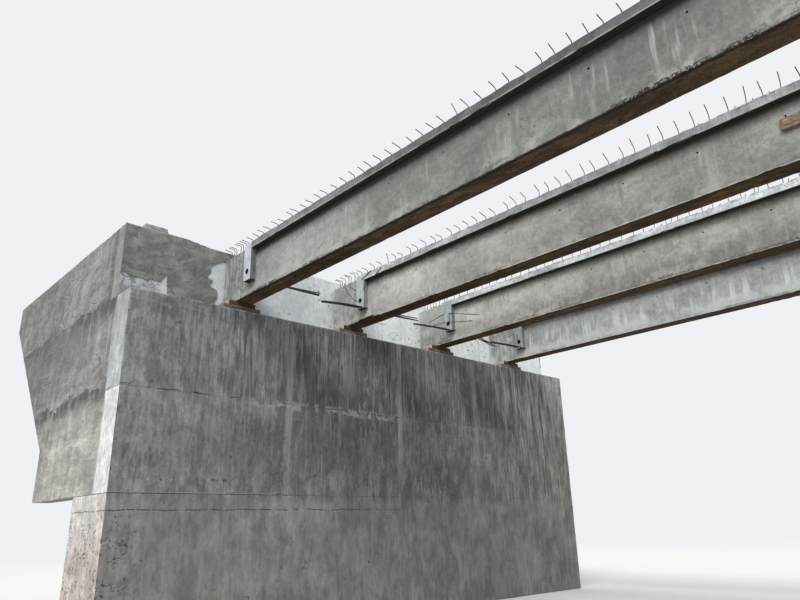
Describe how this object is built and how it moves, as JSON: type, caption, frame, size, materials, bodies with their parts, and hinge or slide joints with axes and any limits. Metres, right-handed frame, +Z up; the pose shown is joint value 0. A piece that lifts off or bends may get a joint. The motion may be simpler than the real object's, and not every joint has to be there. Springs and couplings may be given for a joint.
{
  "type": "reinforced concrete beam bridge without its deck",
  "caption": "Single-span road bridge before its deck is cast: two walled abutments with overhanging wings, beams on timber packing, and bare stirrups and cross bars.",
  "frame": {"origin": "mid span between the abutments, on the level of the bases' undersides", "axes": "+X across the bridge, +Y along it towards the pictured abutment, +Z up"},
  "size_m": [11.08, 28.74, 6.385],
  "materials": {
    "wall_concrete": "weathered cast concrete with streaks and board joints",
    "pale_concrete": "pale fresh cast concrete",
    "beam_concrete": "smooth cast concrete with pale streaks",
    "timber": "rough sawn and damp",
    "rebar": "dark with light rust"
  },
  "bodies": {
    "root": {"near_base": "wall_concrete", "near_lower_lift": "wall_concrete", "near_upper_lift": "wall_concrete", "near_backwall": "pale_concrete", "near_left_wing": "wall_concrete", "near_right_wing": "wall_concrete", "near_lower_packing": "timber", "near_upper_packing": "timber", "far_base": "wall_concrete", "far_lower_lift": "wall_concrete", "far_upper_lift": "wall_concrete", "far_backwall": "pale_concrete", "far_left_wing": "wall_concrete", "far_right_wing": "wall_concrete", "far_lower_packing": "timber", "far_upper_packing": "timber", "beam_1": "beam_concrete", "stirrups_1": "rebar", "cross_bars_1": "rebar", "beam_2": "beam_concrete", "stirrups_2": "rebar", "cross_bars_2": "rebar", "beam_3": "beam_concrete", "stirrups_3": "rebar", "cross_bars_3": "rebar", "beam_4": "beam_concrete", "stirrups_4": "rebar", "cross_bars_4": "rebar", "formwork_board": "timber", "loose_lump": "pale_concrete"}
  },
  "joints": []
}
